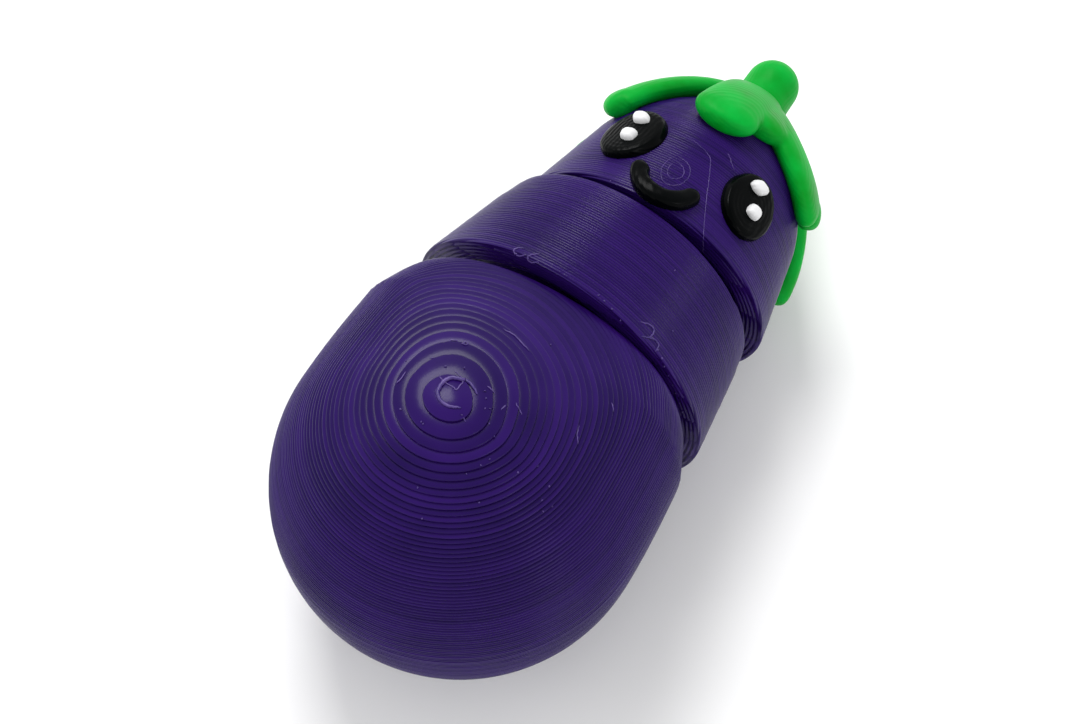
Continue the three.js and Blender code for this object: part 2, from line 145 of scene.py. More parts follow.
def placed(body):
    """The matrix that puts a segment, modelled straight, where it lies in the bent row."""
    ring = (Matrix.Translation((0, HINGE_ONE_Y * MM, 0)) @ Matrix.Rotation(RING_BEND, 4, "Z")
            @ Matrix.Translation((0, -HINGE_ONE_Y * MM, 0)))
    head = (ring @ Matrix.Translation((0, HINGE_TWO_Y * MM, 0))
            @ Matrix.Rotation(HEAD_BEND, 4, "Z")
            @ Matrix.Translation((HEAD_SLIP * MM, -HINGE_TWO_Y * MM, 0)))
    return {"bulb_body": Matrix.Identity(4), "ring_body": ring, "head_body": head}[body]


print("head segment sits at, mm:", [round(v / MM, 2) for v in placed("head_body").translation])

# %% [markdown]
# ## Turning a profile
# A lathe shape is the quickest way from a side view to a solid. Blender's Spin tool does it,
# and so does the Screw modifier, but here the centre line also rises or sinks along the toy,
# so the rings of points are written out directly. Every shape is closed at both ends, because
# the slicer below only works on a closed hull.

# %% Mesh helpers
def mesh_object(name, points, faces):
    """A mesh object at the origin with its faces outwards, from points in millimetres."""
    data = bpy.data.meshes.new(name)
    data.from_pydata([tuple(v * MM for v in p) for p in points], [], faces)
    data.validate()
    face_outwards(data)
    return linked(name, data)


def face_outwards(data):
    """Turns all the faces of a closed mesh over if it is inside out."""
    work = bmesh.new()
    work.from_mesh(data)
    if work.calc_volume(signed=True) < 0:
        bmesh.ops.reverse_faces(work, faces=work.faces)
    work.to_mesh(data)
    work.free()


def closed_rings(name, points, rings, sides):
    """A closed mesh from a first point, a number of rings with equal sides, and a last point."""
    def after(j):
        return (j + 1) % sides

    faces = [(0, 1 + j, 1 + after(j)) for j in range(sides)]
    for i in range(rings - 1):
        low, high = 1 + i * sides, 1 + (i + 1) * sides
        faces += [(low + j, high + j, high + after(j), low + after(j)) for j in range(sides)]
    last, low = len(points) - 1, 1 + (rings - 1) * sides
    faces += [(low + j, last, low + after(j)) for j in range(sides)]
    return mesh_object(name, points, faces)


# %% Turning, cutting and sloping
def pressed(x, z, limit):
    """The height z of a point whose upper side is pressed down softly to a crowned limit."""
    top = limit - (x - BULB_TOP_CROWN_X) ** 2 / (2 * BULB_TOP_CROWN)
    share = min(max(0.5 + 0.5 * (top - z) / BULB_TOP_BLEND, 0.0), 1.0)
    return z * share + top * (1 - share) - BULB_TOP_BLEND * share * (1 - share)


def lathe(name, profile, height_at, top_radius=None, sides=256):
    """Turns (radius, y) points round the long axis. The first and last point lie on the axis."""
    points = []
    for i, (r, y) in enumerate(profile):
        ends = i in (0, len(profile) - 1)
        for a in [0.0] if ends else np.linspace(0, 2 * np.pi, sides, endpoint=False):
            x, z = r * math.sin(a), r * math.cos(a)
            if top_radius and not ends:
                z = pressed(x, z, top_radius(y))
            points.append((x, y, height_at(y) + z))
    return closed_rings(name, points, len(profile) - 2, sides)


def cut_at_floor(thing):
    """Takes away what lies below the floor and closes the cut."""
    work = bmesh.new()
    work.from_mesh(thing.data)
    geometry = work.verts[:] + work.edges[:] + work.faces[:]
    cut = bmesh.ops.bisect_plane(work, geom=geometry, plane_co=(0, 0, 0), plane_no=(0, 0, 1),
                                 clear_inner=True)
    rim = [e for e in cut["geom_cut"] if isinstance(e, bmesh.types.BMEdge)]
    if rim:
        bmesh.ops.holes_fill(work, edges=rim, sides=0)
    work.to_mesh(thing.data)
    work.free()


def slope_front_back(thing, face_y):
    """Slopes a front face back at both sides, so that the next segment can swing."""
    for vertex in thing.data.vertices:
        past = max(0.0, abs(vertex.co.x) / MM - BEVEL_HALF_WIDTH)
        vertex.co.y = min(vertex.co.y, (face_y - past * math.tan(BEVEL)) * MM)


# %% [markdown]
# ## The outer hulls
# The bulb, the ring and the head are first made as smooth hulls without the hidden joints.
# The bulb is nearly a ball at the tail and rounds over in front. The ring tapers and has a
# rounded lip at the back. The head has a narrower lip and closes over in a blunt dome.

# %% Heights of the axis, lips and dome
def bulb_height(y):
    return BULB_AXIS_HEIGHT


def ring_height(y):
    return RING_AXIS_HEIGHT - RING_AXIS_SLOPE * (y - (RING_LIP_Y + RING_FACE_Y) / 2)


def head_height(y):
    return HEAD_AXIS_HEIGHT


def bulb_top_radius(y):
    """How high the bulb's upper side may stand: it falls away towards the ring."""
    return BULB_RADIUS + BULB_TOP_RISE - BULB_TOP_SLOPE * y - BULB_TOP_CURVE * max(y, 0) ** 2


def lip_and_side(y, radius, rounding, far_radius, far_y, steps=14, side_steps=12):
    """The flat rear face, its rounded edge, and the straight side up to a far point."""
    edge = [(radius - rounding + rounding * math.sin(a), y + rounding - rounding * math.cos(a))
            for a in np.linspace(0, math.pi / 2, steps)]
    side = np.linspace((radius, y + rounding), (far_radius, far_y), side_steps)
    return [(0, y), *edge, *side[1:-1]]


def head_dome(steps=60):
    """The head's side view from its waist to its tip."""
    return bezier((HEAD_WAIST_RADIUS, HEAD_WAIST_Y),
                  (HEAD_WAIST_RADIUS - DOME_IN,
                   HEAD_WAIST_Y + DOME_REACH * (HEAD_TIP_Y - HEAD_WAIST_Y)),
                  (DOME_BLUNT * HEAD_WAIST_RADIUS, HEAD_TIP_Y), (0, HEAD_TIP_Y), steps)


print("the ring's axis falls by, mm:", round(ring_height(RING_LIP_Y) - ring_height(RING_FACE_Y), 2))

# %% Smooth hulls
tail = [(BULB_RADIUS * math.sin(a), -TAIL_LENGTH * math.cos(a))
        for a in np.linspace(0, math.pi / 2, 90)]
barrel = bezier((BULB_RADIUS, 0), (BULB_RADIUS, BARREL_STRAIGHT_Y),
                (BULB_RADIUS - BARREL_TURN_IN, BARREL_TURN_Y),
                (BULB_SHOULDER_RADIUS, BULB_SHOULDER_Y), 24)
bulb_profile = [*tail, *barrel[1:-1],
                *shoulder(BULB_SHOULDER_Y, BULB_SHOULDER_RADIUS, BULB_FACE_Y, BULB_FACE_RADIUS,
                          BULB_SHOULDER_SHAPE), (0, BULB_FACE_Y)]
ring_profile = [*lip_and_side(RING_LIP_Y, RING_LIP_RADIUS, RING_LIP_ROUND,
                              RING_SHOULDER_RADIUS, RING_SHOULDER_Y),
                *shoulder(RING_SHOULDER_Y, RING_SHOULDER_RADIUS, RING_FACE_Y, RING_FACE_RADIUS,
                          RING_SHOULDER_SHAPE), (0, RING_FACE_Y)]
head_profile = [*lip_and_side(HEAD_LIP_Y, HEAD_LIP_RADIUS, HEAD_LIP_ROUND,
                              HEAD_WAIST_RADIUS, HEAD_WAIST_Y), *head_dome()]

bulb_hull = lathe("bulb_hull", bulb_profile, bulb_height, bulb_top_radius)
ring_hull = lathe("ring_hull", ring_profile, ring_height)
head_hull = lathe("head_hull", head_profile, head_height)
slope_front_back(bulb_hull, BULB_FACE_Y)
slope_front_back(ring_hull, RING_FACE_Y)
for hull in (bulb_hull, ring_hull, head_hull):
    cut_at_floor(hull)
    print(hull.name, "faces:", len(hull.data.polygons))

# %% [markdown]
# ## A slicer in Geometry Nodes
# A printer lays a shape down as flat layers with bulging edges, so a printed dome has terraces
# where it is flat and fine ribs where it is steep. A bump map can't give the terraces. This
# tree does what the printer's slicer does: from a line inside the hull it casts a ray outwards
# for each layer and each direction, and stacks four rows of points for each layer, two in the
# grooves and two on the bulge. Merge by Distance closes the seam and the two poles.

# %% Node helpers
def add_node(tree, kind, inputs=None, **settings):
    """One node, with its settings and its inputs, which are values or other sockets."""
    node = tree.nodes.new(kind)
    for key, value in settings.items():
        setattr(node, key, value)
    for key, value in (inputs or {}).items():
        if isinstance(value, bpy.types.NodeSocket):
            tree.links.new(value, node.inputs[key])
        else:
            node.inputs[key].default_value = value
    return node


def maths(tree, operation, a, b=0.0, c=0.0):
    """The result socket of one Math node."""
    return add_node(tree, "ShaderNodeMath", {0: a, 1: b, 2: c}, operation=operation).outputs[0]


def vector(tree, x, y, z):
    """The socket of a vector with these parts."""
    return add_node(tree, "ShaderNodeCombineXYZ", {0: x, 1: y, 2: z}).outputs[0]


def noise(tree, at, scale, detail):
    """The value socket of a Noise Texture."""
    return add_node(tree, "ShaderNodeTexNoise", {
        "Vector": at, "Scale": scale, "Detail": detail}).outputs["Fac"]


def white_noise(tree, count):
    """A socket with another random value for each count."""
    return add_node(tree, "ShaderNodeTexWhiteNoise", {"W": count},
                    noise_dimensions="1D").outputs["Value"]


# %% Starting and ending a tree
def start_tree(name, inputs):
    """A Geometry Nodes tree with a geometry input and the named inputs, and their sockets."""
    tree = bpy.data.node_groups.new(name, "GeometryNodeTree")
    for label, kind in [("Geometry", "Geometry"), *inputs.items()]:
        tree.interface.new_socket(label, in_out="INPUT", socket_type="NodeSocket" + kind)
    tree.interface.new_socket("Geometry", in_out="OUTPUT", socket_type="NodeSocketGeometry")
    return tree, tree.nodes.new("NodeGroupInput").outputs


def end_tree(tree, geometry, material):
    """Ends a tree with real geometry that has its material."""
    realised = add_node(tree, "GeometryNodeRealizeInstances", {"Geometry": geometry})
    painted = add_node(tree, "GeometryNodeSetMaterial", {
        "Geometry": realised.outputs[0], "Material": material})
    tree.links.new(painted.outputs[0], tree.nodes.new("NodeGroupOutput").inputs[0])
    return tree


# %% Where the rows of the grid belong
ROWS_PER_LAYER = 4.0
# How far the rows lie from the middle of their layer, in layer heights: the bulge rows, what
# the groove rows have more, and what the two closing caps have more again.
BULGE_ROW, GROOVE_MORE, CAP_MORE = 0.2, 0.26, 0.04


def layer_of(calc, given, row):
    """A row's layer, its height, the middle height of its layer, and whether the row is in a
    groove or is one of the two closing caps."""
    inside = calc("SUBTRACT", row, 1.0)
    layer = calc("FLOOR", calc("DIVIDE", calc("ADD", inside, 0.5), ROWS_PER_LAYER))
    layer = calc("MINIMUM", calc("MAXIMUM", layer, 0.0), calc("SUBTRACT", given["Layers"], 1.0))
    place = calc("SUBTRACT", inside, calc("MULTIPLY", layer, ROWS_PER_LAYER))
    from_middle = calc("SUBTRACT", place, (ROWS_PER_LAYER - 1) / 2)
    in_groove = calc("GREATER_THAN", calc("ABSOLUTE", from_middle), 1.0)
    is_cap = calc("GREATER_THAN", calc("ABSOLUTE", from_middle), 2.0)
    spread = calc("MULTIPLY_ADD", in_groove, GROOVE_MORE, BULGE_ROW)
    spread = calc("MULTIPLY_ADD", is_cap, CAP_MORE, spread)
    share = calc("MULTIPLY_ADD", calc("SIGN", from_middle), spread, 0.5)
    row_height, middle_height = (
        calc("MULTIPLY_ADD", calc("ADD", layer, part), given["Layer height"],
             given["Base height"]) for part in (share, 0.5))
    return layer, row_height, middle_height, in_groove, is_cap


print("a groove lies this far from its layer's middle, mm:",
      round((BULGE_ROW + GROOVE_MORE) * LAYER, 3))

# %% The slicer tree
UNEVEN_SCALE, UNEVEN_TURN, UNEVEN_STEP = 1.7, 2.6, 1.37
LAYER_JITTER, NOISE_MIDDLE = 0.45, 0.72
MERGE_DISTANCE = 1e-7


def slicer_tree():
    tree, given = start_tree("layer_slicer", {
        "Layers": "Int", "Columns": "Int", "Layer height": "Float", "Base height": "Float",
        "Groove depth": "Float", "Wobble": "Float", "Low point": "Vector",
        "High point": "Vector", "Seed": "Float", "Material": "Material"})

    def calc(*terms):
        return maths(tree, *terms)

    # The grid has a row for each ring of points, and one column more than there are
    # directions, because the last one closes the seam.
    stride = calc("ADD", given["Columns"], 1.0)
    rows = calc("MULTIPLY_ADD", given["Layers"], ROWS_PER_LAYER, 2.0)
    grid = add_node(tree, "GeometryNodeMeshGrid", {"Vertices X": rows, "Vertices Y": stride})
    index = tree.nodes.new("GeometryNodeInputIndex").outputs[0]
    row = calc("FLOOR", calc("DIVIDE", calc("ADD", index, 0.5), stride))
    column = calc("SUBTRACT", index, calc("MULTIPLY", row, stride))
    angle = calc("MULTIPLY", calc("DIVIDE", column, given["Columns"]), 2 * math.pi)
    layer, row_height, middle_height, in_groove, is_cap = layer_of(calc, given, row)
    # The ray: from the line between the low and the high point, straight outwards.
    low, high = (add_node(tree, "ShaderNodeSeparateXYZ", {0: given[key]}).outputs
                 for key in ("Low point", "High point"))
    along = calc("DIVIDE", calc("SUBTRACT", middle_height, low["Z"]),
                 calc("SUBTRACT", high["Z"], low["Z"]))
    start = [calc("MULTIPLY_ADD", calc("SUBTRACT", high[axis], low[axis]), along, low[axis])
             for axis in ("X", "Y")]
    way = [calc("COSINE", angle), calc("SINE", angle)]
    ray = add_node(tree, "GeometryNodeRaycast", {
        "Target Geometry": given["Geometry"], "Ray Length": 1.0,
        "Source Position": vector(tree, *start, middle_height),
        "Ray Direction": vector(tree, *way, 0.0)})
    # The bead is a little uneven, and each layer sits a little in or out.
    spot = vector(tree, *(calc("MULTIPLY", part, UNEVEN_TURN) for part in way),
                  calc("MULTIPLY_ADD", layer, UNEVEN_STEP, given["Seed"]))
    jitter = white_noise(tree, calc("ADD", layer, given["Seed"]))
    swing = calc("SUBTRACT", calc("MULTIPLY_ADD", jitter, LAYER_JITTER,
                                  noise(tree, spot, scale=UNEVEN_SCALE, detail=3.0)), NOISE_MIDDLE)
    reach = calc("MULTIPLY_ADD", swing, given["Wobble"], ray.outputs["Hit Distance"])
    depth = calc("MULTIPLY", in_groove, given["Groove depth"])
    reach = calc("MAXIMUM", calc("SUBTRACT", reach, depth), 0.0)
    reach = calc("MULTIPLY", reach, calc("SUBTRACT", 1.0, is_cap))
    moved = add_node(tree, "GeometryNodeSetPosition", {
        "Geometry": grid.outputs["Mesh"],
        "Position": vector(tree, *(calc("MULTIPLY_ADD", reach, part, from_axis)
                                   for part, from_axis in zip(way, start)), row_height)})
    merged = add_node(tree, "GeometryNodeMergeByDistance", {
        "Geometry": moved.outputs[0], "Distance": MERGE_DISTANCE})
    return end_tree(tree, merged.outputs[0], given["Material"])


SLICER = slicer_tree()
print("slicer nodes:", len(SLICER.nodes))


# %% Running the slicer on a hull
def set_inputs(modifier, values):
    """Sets a Geometry Nodes modifier's inputs by name, through their identifiers."""
    sockets = {s.name: s.identifier for s in modifier.node_group.interface.items_tree
               if s.item_type == "SOCKET" and s.in_out == "INPUT"}
    for name, value in values.items():
        modifier[sockets[name]] = value


def evaluated_mesh(thing, name):
    """The plain mesh that an object's modifiers give."""
    bpy.context.view_layer.update()
    graph = bpy.context.evaluated_depsgraph_get()
    data = bpy.data.meshes.new_from_object(thing.evaluated_get(graph))
    data.name = name
    return data


# How near to the lowest or highest point of a hull, in layer heights, its ends are looked for.
END_SHARE = 0.35


def sliced(hull, name, up, columns, groove, wobble, seed, material):
    """Cuts a hull into layers that lie square to the direction up. Lengths are in millimetres."""
    turn = Vector(up).normalized().rotation_difference(Vector((0, 0, 1))).to_matrix().to_4x4()
    hull.data.transform(turn)
    points = np.array([v.co for v in hull.data.vertices])
    low, high = points[:, 2].min(), points[:, 2].max()
    layers = round((high - low) / (LAYER * MM))
    height = (high - low) / layers
    near = END_SHARE * height
    modifier = hull.modifiers.new("slicer", "NODES")
    modifier.node_group = SLICER
    set_inputs(modifier, {
        "Layers": layers, "Columns": columns, "Layer height": height, "Base height": low,
        "Groove depth": groove * MM, "Wobble": wobble * MM, "Seed": seed, "Material": material,
        "Low point": tuple(points[points[:, 2] < low + near].mean(0)),
        "High point": tuple(points[points[:, 2] > high - near].mean(0))})
    data = evaluated_mesh(hull, name)
    data.transform(turn.inverted())
    bpy.data.objects.remove(hull)
    face_outwards(data)
    print(name, "layers:", layers, "pitch mm:", round(height / MM, 4),
          "faces:", len(data.polygons))
    return linked(name, data)


# %% [markdown]
# ## Purple plastic
# The plastic is a dark violet with a soft gloss. Here and there a layer is a little paler,
# because each one cooled in its own way. The pattern follows the layers, so the material
# counts them along the direction they were printed in. It does that from Object coordinates,
# which stay with the piece when it moves.

# %% Material helpers
def linear(red, green, blue):
    """A colour given as on a colour card, 0 to 255, as the linear values a shader needs."""
    def one(v):
        v /= 255
        return v / 12.92 if v <= 0.04045 else ((v + 0.055) / 1.055) ** 2.4
    return (one(red), one(green), one(blue), 1.0)


def new_material(name, roughness, specular, coat=0.0, coat_roughness=0.2):
    """A material's node tree to add to, and its shader."""
    material = bpy.data.materials.new(name)
    material.use_nodes = True
    shader = material.node_tree.nodes["Principled BSDF"]
    for socket, value in (("Roughness", roughness), ("Specular IOR Level", specular),
                          ("Coat Weight", coat), ("Coat Roughness", coat_roughness)):
        shader.inputs[socket].default_value = value
    return material, material.node_tree, shader


def object_place(tree):
    """The socket of the Object coordinates."""
    return tree.nodes.new("ShaderNodeTexCoord").outputs["Object"]


def layer_count(tree, place, up, pitch):
    """A socket that counts layers along the direction up, of the given pitch in millimetres."""
    axis = Vector(up).normalized() / (pitch * MM)
    return add_node(tree, "ShaderNodeVectorMath", {0: place, 1: tuple(axis)},
                    operation="DOT_PRODUCT").outputs["Value"]


def two_tones(tree, shader, amount, tones, low, high):
    """Lets the colour go from the first tone to the second as amount goes from low to high."""
    ramp = add_node(tree, "ShaderNodeValToRGB", {"Fac": amount})
    for stop, position, tone in zip(ramp.color_ramp.elements, (low, high), tones):
        stop.position = position
        stop.color = linear(*tone)
    tree.links.new(ramp.outputs["Color"], shader.inputs["Base Color"])


BUMP_DEPTH = 0.04 * MM


def surface(tree, shader, rough, height, strength):
    """Gives a shader its roughness socket and a very shallow bump."""
    bump = add_node(tree, "ShaderNodeBump", {
        "Height": height, "Strength": strength, "Distance": BUMP_DEPTH})
    tree.links.new(bump.outputs[0], shader.inputs["Normal"])
    tree.links.new(rough.outputs[0], shader.inputs["Roughness"])


# %% Purple, with the directions the segments were printed in
PURPLES = ((27, 6, 70), (43, 15, 94))
PURPLE_ROUGHNESS = (0.27, 0.42)
LAYER_SHARE = 0.35
UP_BULB = (-0.020, 0.0, 1.0)
RING_LEAN, HEAD_LEAN = math.radians(5), math.radians(4)


def purple_plastic(name, up):
    material, tree, shader = new_material(name, PURPLE_ROUGHNESS[1], specular=0.03, coat=0.42)
    shader.inputs["Coat IOR"].default_value = 1.3
    place = object_place(tree)
    pale = white_noise(tree, maths(tree, "FLOOR", layer_count(tree, place, up, LAYER)))
    cloudy = noise(tree, place, scale=160.0, detail=4.0)
    amount = maths(tree, "MULTIPLY_ADD", pale, LAYER_SHARE,
                   maths(tree, "MULTIPLY", cloudy, 1 - LAYER_SHARE))
    two_tones(tree, shader, amount, PURPLES, low=0.25, high=0.8)
    rough = add_node(tree, "ShaderNodeMapRange", {
        "Value": cloudy, "To Min": PURPLE_ROUGHNESS[0], "To Max": PURPLE_ROUGHNESS[1]})
    fine = noise(tree, place, scale=2600.0, detail=3.0)
    surface(tree, shader, rough, fine, strength=0.12)
    return material


def leaning(body, lean):
    """A direction back along a segment, tipped upwards by lean."""
    straight = Vector((0, -math.cos(lean), math.sin(lean)))
    return tuple(placed(body).to_3x3() @ straight)


up_ring, up_head = leaning("ring_body", RING_LEAN), leaning("head_body", HEAD_LEAN)
bulb_purple, ring_purple, head_purple = (
    purple_plastic("purple_plastic_" + word, up)
    for word, up in (("bulb", UP_BULB), ("ring", up_ring), ("head", up_head)))
print("purple materials:", bulb_purple.name, ring_purple.name, head_purple.name)

# %% [markdown]
# ## Slicing the three segments
# The bulb was printed on its flat underside, so its layers lie level and ring its highest
# point like contour lines on a map. The ring and the head were printed standing up on their
# front ends, a little askew, so their layers run round them.

# %% Sliced segments
for hull, body in ((ring_hull, "ring_body"), (head_hull, "head_body")):
    hull.data.transform(placed(body))
# Hull, name, direction up, columns, groove depth, wobble, seed and material.
bulb_piece, ring_piece, head_piece = (sliced(*given) for given in (
    (bulb_hull, "printed_bulb", UP_BULB, 204, 0.072, 0.05, 3.0, bulb_purple),
    (ring_hull, "printed_ring", up_ring, 280, 0.055, 0.05, 11.0, ring_purple),
    (head_hull, "printed_head", up_head, 226, 0.048, 0.045, 23.0, head_purple)))
for piece in (bulb_piece, ring_piece, head_piece):
    for vertex in piece.data.vertices:
        vertex.co.z = max(vertex.co.z, 0.0)

# %% [markdown]
# ## The joints inside
# A pin stands across a slot in the front of the bulb, and the ring reaches back into the slot
# with a tongue that ends in a loop round the pin. The head hangs on the ring in the same way.
# Blender's Manifold Boolean solver cuts the slots and the hollow rear faces out of the sliced
# pieces, because both sides are closed. The rear faces keep the fine rings of their last layer.

# %% Shapes for the joints
PIN_RADIUS, LOOP_WALL, SLOT_CLEARANCE = 1.3, 1.2, 0.5
TONGUE_HALF_WIDTH, TONGUE_THICKNESS = 1.9, 4.6
RING_PLAY, HEAD_PLAY = 0.45, 1.5
SWING = math.radians(6.5)
CUP_DEPTH, CUP_RIM, CUP_MIDDLE, RIM_INSET = 0.9, 2.4, 4.0, 0.3
RIDGE_DEPTH, RIDGE_STEPS = 0.14, 6
# How far a shape runs into, or past, what it is joined to or cuts.
PIN_ROOT, PAST = 0.5, 1


def prism(name, outline, low, high):
    """An upright prism over an outline of (x, y) points that run anticlockwise."""
    n = len(outline)
    points = [(x, y, z) for z in (low, high) for x, y in outline]
    faces = [tuple(reversed(range(n))), tuple(range(n, 2 * n))]
    faces += [(i, (i + 1) % n, n + (i + 1) % n, n + i) for i in range(n)]
    return mesh_object(name, points, faces)


def upright(name, radius, y, low, high, sides=48):
    """An upright cylinder on the toy's middle plane."""
    turn = np.linspace(0, 2 * math.pi, sides, endpoint=False)
    return prism(name, [(radius * math.cos(a), y + radius * math.sin(a)) for a in turn], low, high)


def rear_cutter(name, lip_y, lip_radius, height_at):
    """What is taken off behind a segment: a shallow cup with fine rings on its rim and floor."""
    rim = lip_radius - CUP_RIM

    def ridged(outer, inner, y):
        return [(r, y + RIDGE_DEPTH * (1 + math.sin(2 * math.pi * r / LINE_WIDTH)) / 2)
                for r in np.arange(outer, inner, -LINE_WIDTH / RIDGE_STEPS)]

    behind, outside = lip_y - 2 * PAST, lip_radius + PAST
    profile = [(0, behind), (outside, behind), (outside, lip_y),
               *ridged(lip_radius - RIM_INSET, rim, lip_y),
               *ridged(rim - CUP_DEPTH, CUP_MIDDLE, lip_y + CUP_DEPTH), (0, lip_y + CUP_DEPTH)]
    return lathe(name, profile, height_at)


def slot_steps(hinge_y, z, face_y, play):
    """The cuts for one slot with its round well, and the pin that stands in it."""
    half = TONGUE_THICKNESS / 2 + SLOT_CLEARANCE
    low, high = z - half, z + half
    reach = face_y - hinge_y + 2 * PAST
    near = TONGUE_HALF_WIDTH + SLOT_CLEARANCE + play
    far = near + reach * math.tan(SWING)
    fan = prism("slot", [(-near, hinge_y), (near, hinge_y), (far, hinge_y + reach),
                         (-far, hinge_y + reach)], low, high)
    well = upright("well", PIN_RADIUS + 2 * play + LOOP_WALL + SLOT_CLEARANCE, hinge_y, low, high)
    pin = upright("pin", PIN_RADIUS, hinge_y, low - PIN_ROOT, high + PIN_ROOT)
    return [("DIFFERENCE", fan), ("DIFFERENCE", well), ("UNION", pin)]


def tongue_steps(hinge_y, z, lip_y, play):
    """The tongue that reaches back from a segment, and the loop at its end."""
    low, high = z - TONGUE_THICKNESS / 2, z + TONGUE_THICKNESS / 2
    w, root = TONGUE_HALF_WIDTH, lip_y + CUP_DEPTH + PAST
    bar = prism("bar", [(-w, hinge_y), (w, hinge_y), (w, root), (-w, root)], low, high)
    loop = upright("loop", PIN_RADIUS + play + LOOP_WALL, hinge_y, low, high)
    hole = upright("hole", PIN_RADIUS + play, hinge_y, low - PAST, high + PAST)
    return [("UNION", bar), ("UNION", loop), ("DIFFERENCE", hole)]


print("slot half height, mm:", TONGUE_THICKNESS / 2 + SLOT_CLEARANCE)


# %% Carving the joints
def one_material(data, material):
    """Gives every face of a mesh the same material."""
    data.materials.clear()
    data.materials.append(material)
    data.polygons.foreach_set("material_index", [0] * len(data.polygons))


def carved(piece, body, plastic, steps):
    """Runs a list of Boolean cuts and joins on a piece. The other shapes are used up."""
    for operation, other in steps:
        other.data.transform(placed(body))
        boolean = piece.modifiers.new(operation, "BOOLEAN")
        boolean.operation = operation
        boolean.solver = "MANIFOLD"
        boolean.object = other
    data = evaluated_mesh(piece, piece.name)
    piece.modifiers.clear()
    piece.data = data
    one_material(data, plastic)
    for _, other in steps:
        bpy.data.objects.remove(other)
    print(piece.name, "faces after carving:", len(data.polygons))


ring_z = ring_height(RING_LIP_Y)
carved(bulb_piece, "bulb_body", bulb_purple,
       slot_steps(HINGE_ONE_Y, ring_z, BULB_FACE_Y, RING_PLAY))
carved(ring_piece, "ring_body", ring_purple, [
    ("DIFFERENCE", rear_cutter("ring_cup", RING_LIP_Y, RING_LIP_RADIUS, ring_height)),
    *slot_steps(HINGE_TWO_Y, HEAD_AXIS_HEIGHT, RING_FACE_Y, HEAD_PLAY),
    *tongue_steps(HINGE_ONE_Y, ring_z, RING_LIP_Y, RING_PLAY)])
carved(head_piece, "head_body", head_purple, [
    ("DIFFERENCE", rear_cutter("head_cup", HEAD_LIP_Y, HEAD_LIP_RADIUS, head_height)),
    *tongue_steps(HINGE_TWO_Y, HEAD_AXIS_HEIGHT, HEAD_LIP_Y, HEAD_PLAY)])

# %% [markdown]
# ## Strings and blobs
# The nozzle left marks: a raised bead where the bulb ends, hair-thin strings it dragged
# over the skin, and small blobs where a layer began. They were placed as spots in the
# camera's view, and a ray from the camera drops each one on the skin. A Geometry Nodes tree
# then gives every line a round, tapered body. Blobs are only very short lines.
# The marks are raised plastic, and their pale tone is partly painted highlight: the loops at the
# ring's lip and the row of dots along its rim stand where light glints on the edges of layers.

# %% The string tree
TAPER_POWER, TAPER_END = 0.35, 0.15


def string_tree():
    tree, given = start_tree("string_on_skin", {"Radius": "Float", "Material": "Material"})
    curve = add_node(tree, "GeometryNodeMeshToCurve", {"Mesh": given["Geometry"]})
    along = tree.nodes.new("GeometryNodeSplineParameter").outputs["Factor"]
    back = maths(tree, "SUBTRACT", 1.0, along)
    hump = maths(tree, "MULTIPLY", maths(tree, "MULTIPLY", along, back), 4.0)
    taper = maths(tree, "MULTIPLY_ADD", maths(tree, "POWER", hump, TAPER_POWER),
                  1 - TAPER_END, TAPER_END)
    ring = add_node(tree, "GeometryNodeCurvePrimitiveCircle", {
        "Resolution": 8, "Radius": given["Radius"]})
    body = add_node(tree, "GeometryNodeCurveToMesh", {
        "Curve": curve.outputs[0], "Profile Curve": ring.outputs[0], "Scale": taper,
        "Fill Caps": True})
    return end_tree(tree, body.outputs[0], given["Material"])


STRING = string_tree()
print("string nodes:", len(STRING.nodes))

# %% Dropping lines of spots on a piece
SPOT_STEP, SPOT_WANDER, SPOT_LIFT = 1.1, 0.22, 0.3
BLOB_LENGTH = (1.3, 0.5)
wander = np.random.default_rng(41)


def dropped(piece, spot, lift):
    """Where a spot of the view falls on a piece, raised by lift, or None."""
    hit, point, normal, _ = piece.ray_cast(eye_point, way_through(spot).normalized())
    return point + normal * lift if hit else None


def rounded(line):
    """Cuts the corners of a line of spots twice, which rounds it."""
    for _ in range(2):
        early, late = 0.75 * line[:-1] + 0.25 * line[1:], 0.25 * line[:-1] + 0.75 * line[1:]
        middle = np.stack([early, late], axis=1).reshape(-1, 2)
        line = np.vstack([line[:1], middle, line[-1:]])
    return line


def run_along(line):
    """The distance from the start of a line to each of its points."""
    return np.concatenate([[0], np.cumsum(np.linalg.norm(np.diff(line, axis=0), axis=1))])


def strings(name, piece, lines, radius):
    """One object with a string for each line of spots in the view."""
    points, edges = [], []
    for line in lines:
        line = np.array(line, float)
        if len(line) == 1:
            line = np.vstack([line, line + BLOB_LENGTH])
        line = rounded(line)
        run = run_along(line)
        at = np.linspace(0, run[-1], max(4, int(run[-1] / SPOT_STEP)))
        spots = np.column_stack([np.interp(at, run, line[:, k]) for k in (0, 1)])
        spots += wander.normal(0, SPOT_WANDER, spots.shape)
        found = [dropped(piece, spot, SPOT_LIFT * radius * MM) for spot in spots]
        found = [tuple(p) for p in found if p is not None]
        edges += [(len(points) + i, len(points) + i + 1) for i in range(len(found) - 1)]
        points += found
    data = bpy.data.meshes.new(name)
    data.from_pydata(points, edges, [])
    thing = linked(name, data)
    modifier = thing.modifiers.new("string", "NODES")
    modifier.node_group = STRING
    set_inputs(modifier, {"Radius": radius * MM, "Material": mark_and_sheen_plastic})
    body = evaluated_mesh(thing, name)
    thing.modifiers.clear()
    thing.data = body
    one_material(body, mark_and_sheen_plastic)
    return thing


